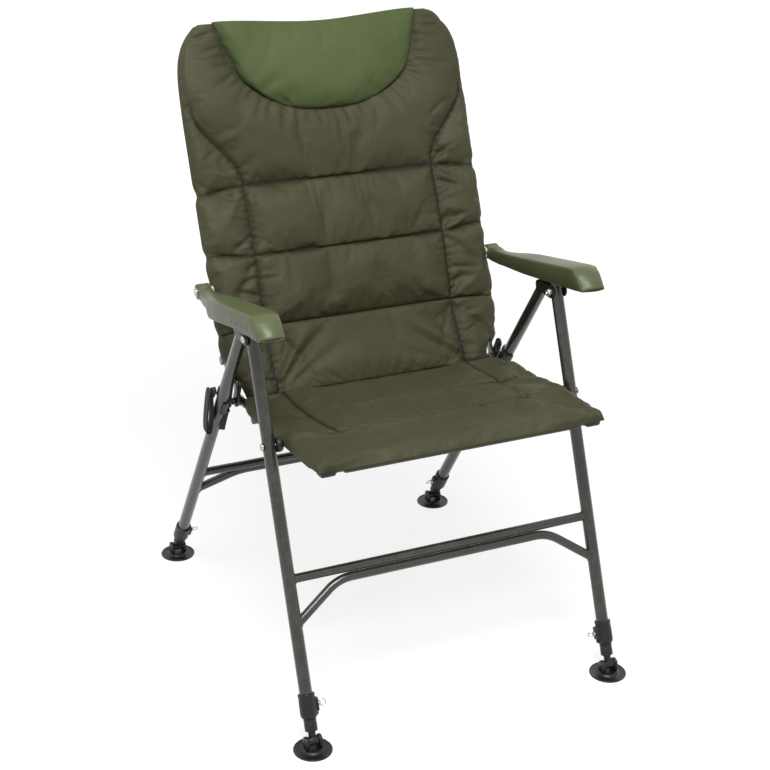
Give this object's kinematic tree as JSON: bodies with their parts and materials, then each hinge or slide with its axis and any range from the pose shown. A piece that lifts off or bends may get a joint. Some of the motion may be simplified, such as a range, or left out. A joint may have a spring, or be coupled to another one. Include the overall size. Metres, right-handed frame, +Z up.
{
  "type": "folding chair",
  "caption": "Folding chair with padded seat and reclining back, moulded armrests, crossed tube leg frames, telescopic legs and swivel disc feet.",
  "frame": {"origin": "on the floor, midway between the four feet discs, at the centre of the bounding box", "axes": "+Z up, -Y towards the front of the chair, +X to the right seen from the front"},
  "size_m": [0.647, 0.784, 1.081],
  "materials": {
    "tube_paint": "satin olive-grey powder coat",
    "black_steel": "satin black paint",
    "bright_steel": "zinc-bright",
    "black_plastic": "fine texture",
    "green_plastic": "satin moulded",
    "olive_fabric": "woven polyester",
    "green_fabric": "smooth stretch fabric",
    "webbing": "woven webbing"
  },
  "bodies": {
    "front_frame": {"front_leg_left": "tube_paint", "front_leg_right": "tube_paint", "front_cross_tube": "tube_paint", "front_brace_tube": "tube_paint", "front_collar_left": "black_plastic", "front_collar_right": "black_plastic", "armrest_peg_left": "black_plastic", "armrest_peg_right": "black_plastic", "seat_bolt_left": "bright_steel", "seat_bolt_right": "bright_steel", "seat_spacer_left": "black_plastic", "seat_spacer_right": "black_plastic"},
    "rear_frame": {"rear_leg_left": "tube_paint", "rear_leg_right": "tube_paint", "rear_cross_tube": "tube_paint", "rear_brace_tube": "tube_paint", "rear_collar_left": "black_plastic", "rear_collar_right": "black_plastic", "knuckle_left": "black_plastic", "knuckle_right": "black_plastic", "apex_bolt_left": "bright_steel", "apex_bolt_right": "bright_steel", "closing_strap": "webbing"},
    "seat": {"seat_rail_left": "tube_paint", "seat_rail_right": "tube_paint", "seat_front_tube": "tube_paint", "seat_rear_tube": "tube_paint", "seat_corner_left": "black_plastic", "seat_corner_right": "black_plastic", "seat_pad": "olive_fabric"},
    "back_hinge": {"hinge_plate_left": "black_steel", "hinge_plate_right": "black_steel"},
    "back": {"back_tube": "tube_paint", "back_low_tube": "tube_paint", "back_pad": "olive_fabric", "headrest_pad": "green_fabric"},
    "slider_left": {"slide_saddle_left": "black_plastic"},
    "arm_link_left": {"armrest_bolt_left": "bright_steel"},
    "armrest_left": {"armrest_left": "green_plastic"},
    "slider_right": {"slide_saddle_right": "black_plastic"},
    "arm_link_right": {"armrest_bolt_right": "bright_steel"},
    "armrest_right": {"armrest_right": "green_plastic"},
    "front_extension_left": {"front_inner_leg_left": "black_plastic"},
    "front_foot_left": {"front_foot_left": "black_plastic"},
    "front_pin_left": {"front_pull_pin_left": "bright_steel"},
    "front_extension_right": {"front_inner_leg_right": "black_plastic"},
    "front_foot_right": {"front_foot_right": "black_plastic"},
    "front_pin_right": {"front_pull_pin_right": "bright_steel"},
    "rear_extension_left": {"rear_inner_leg_left": "black_plastic"},
    "rear_foot_left": {"rear_foot_left": "black_plastic"},
    "rear_pin_left": {"rear_pull_pin_left": "bright_steel"},
    "rear_extension_right": {"rear_inner_leg_right": "black_plastic"},
    "rear_foot_right": {"rear_foot_right": "black_plastic"},
    "rear_pin_right": {"rear_pull_pin_right": "bright_steel"}
  },
  "joints": [
    {"name": "frame_fold", "type": "hinge", "parent": "front_frame", "child": "rear_frame", "pos_m": [0, -0.0975, 0.65], "axis": [1, 0, 0], "range_deg": [-42.3, 0]},
    {"name": "seat_fold", "type": "hinge", "parent": "front_frame", "child": "seat", "pos_m": [0, -0.16691, 0.48219], "axis": [1, 0, 0], "range_deg": [-74.8, 0]},
    {"name": "back_hinge_fold", "type": "hinge", "parent": "seat", "child": "back_hinge", "pos_m": [0, 0.0695, 0.46], "axis": [1, 0, 0], "range_deg": [0, 74.8]},
    {"name": "back_recline", "type": "hinge", "parent": "back_hinge", "child": "back", "pos_m": [0, 0.0695, 0.46], "axis": [1, 0, 0], "range_deg": [-22.3, 0]},
    {"name": "slider_left_slide", "type": "slide", "parent": "rear_frame", "child": "slider_left", "axis": [0, 0.5481, -0.8364], "range_m": [0, 0.1443]},
    {"name": "armrest_left_fold", "type": "hinge", "parent": "back", "child": "arm_link_left", "pos_m": [-0.29, 0.14972, 0.64539], "axis": [1, 0, 0], "range_deg": [-81.1, 0]},
    {"name": "armrest_left_recline", "type": "hinge", "parent": "arm_link_left", "child": "armrest_left", "pos_m": [-0.29, 0.14972, 0.64539], "axis": [1, 0, 0], "range_deg": [0, 16.9]},
    {"name": "slider_right_slide", "type": "slide", "parent": "rear_frame", "child": "slider_right", "axis": [0, 0.5481, -0.8364], "range_m": [0, 0.1443]},
    {"name": "armrest_right_fold", "type": "hinge", "parent": "back", "child": "arm_link_right", "pos_m": [0.29, 0.14972, 0.64539], "axis": [1, 0, 0], "range_deg": [-81.1, 0]},
    {"name": "armrest_right_recline", "type": "hinge", "parent": "arm_link_right", "child": "armrest_right", "pos_m": [0.29, 0.14972, 0.64539], "axis": [1, 0, 0], "range_deg": [0, 16.9]},
    {"name": "front_left_leg_slide", "type": "slide", "parent": "front_frame", "child": "front_extension_left", "axis": [0, -0.3822, -0.9241], "range_m": [0, 0.1]},
    {"name": "front_left_foot_swivel", "type": "hinge", "parent": "front_extension_left", "child": "front_foot_left", "pos_m": [-0.29, -0.3585, 0.019], "axis": [1, 0, 0], "range_deg": [-30, 30]},
    {"name": "front_left_pull_pin_slide", "type": "slide", "parent": "front_frame", "child": "front_pin_left", "axis": [1, 0, 0], "range_m": [0, 0.006], "stiffness_N_per_m": 400, "springref_m": -0.003},
    {"name": "front_right_leg_slide", "type": "slide", "parent": "front_frame", "child": "front_extension_right", "axis": [0, -0.3822, -0.9241], "range_m": [0, 0.1]},
    {"name": "front_right_foot_swivel", "type": "hinge", "parent": "front_extension_right", "child": "front_foot_right", "pos_m": [0.29, -0.3585, 0.019], "axis": [1, 0, 0], "range_deg": [-30, 30]},
    {"name": "front_right_pull_pin_slide", "type": "slide", "parent": "front_frame", "child": "front_pin_right", "axis": [-1, 0, 0], "range_m": [0, 0.006], "stiffness_N_per_m": 400, "springref_m": -0.003},
    {"name": "rear_left_leg_slide", "type": "slide", "parent": "rear_frame", "child": "rear_extension_left", "axis": [0, 0.5481, -0.8364], "range_m": [0, 0.1]},
    {"name": "rear_left_foot_swivel", "type": "hinge", "parent": "rear_extension_left", "child": "rear_foot_left", "pos_m": [-0.29, 0.3585, 0.019], "axis": [1, 0, 0], "range_deg": [-30, 30]},
    {"name": "rear_left_pull_pin_slide", "type": "slide", "parent": "rear_frame", "child": "rear_pin_left", "axis": [1, 0, 0], "range_m": [0, 0.006], "stiffness_N_per_m": 400, "springref_m": -0.003},
    {"name": "rear_right_leg_slide", "type": "slide", "parent": "rear_frame", "child": "rear_extension_right", "axis": [0, 0.5481, -0.8364], "range_m": [0, 0.1]},
    {"name": "rear_right_foot_swivel", "type": "hinge", "parent": "rear_extension_right", "child": "rear_foot_right", "pos_m": [0.29, 0.3585, 0.019], "axis": [1, 0, 0], "range_deg": [-30, 30]},
    {"name": "rear_right_pull_pin_slide", "type": "slide", "parent": "rear_frame", "child": "rear_pin_right", "axis": [-1, 0, 0], "range_m": [0, 0.006], "stiffness_N_per_m": 400, "springref_m": -0.003}
  ],
  "couplings": [
    {"joint": "seat_fold", "follows": "frame_fold", "ratio": 1.767},
    {"joint": "back_hinge_fold", "follows": "frame_fold", "ratio": -1.767},
    {"joint": "slider_left_slide", "follows": "frame_fold", "m_per_rad": -0.1953},
    {"joint": "armrest_left_fold", "follows": "frame_fold", "ratio": 1.917},
    {"joint": "armrest_left_recline", "follows": "back_recline", "ratio": -0.757},
    {"joint": "slider_right_slide", "follows": "frame_fold", "m_per_rad": -0.1953},
    {"joint": "armrest_right_fold", "follows": "frame_fold", "ratio": 1.917},
    {"joint": "armrest_right_recline", "follows": "back_recline", "ratio": -0.757}
  ]
}
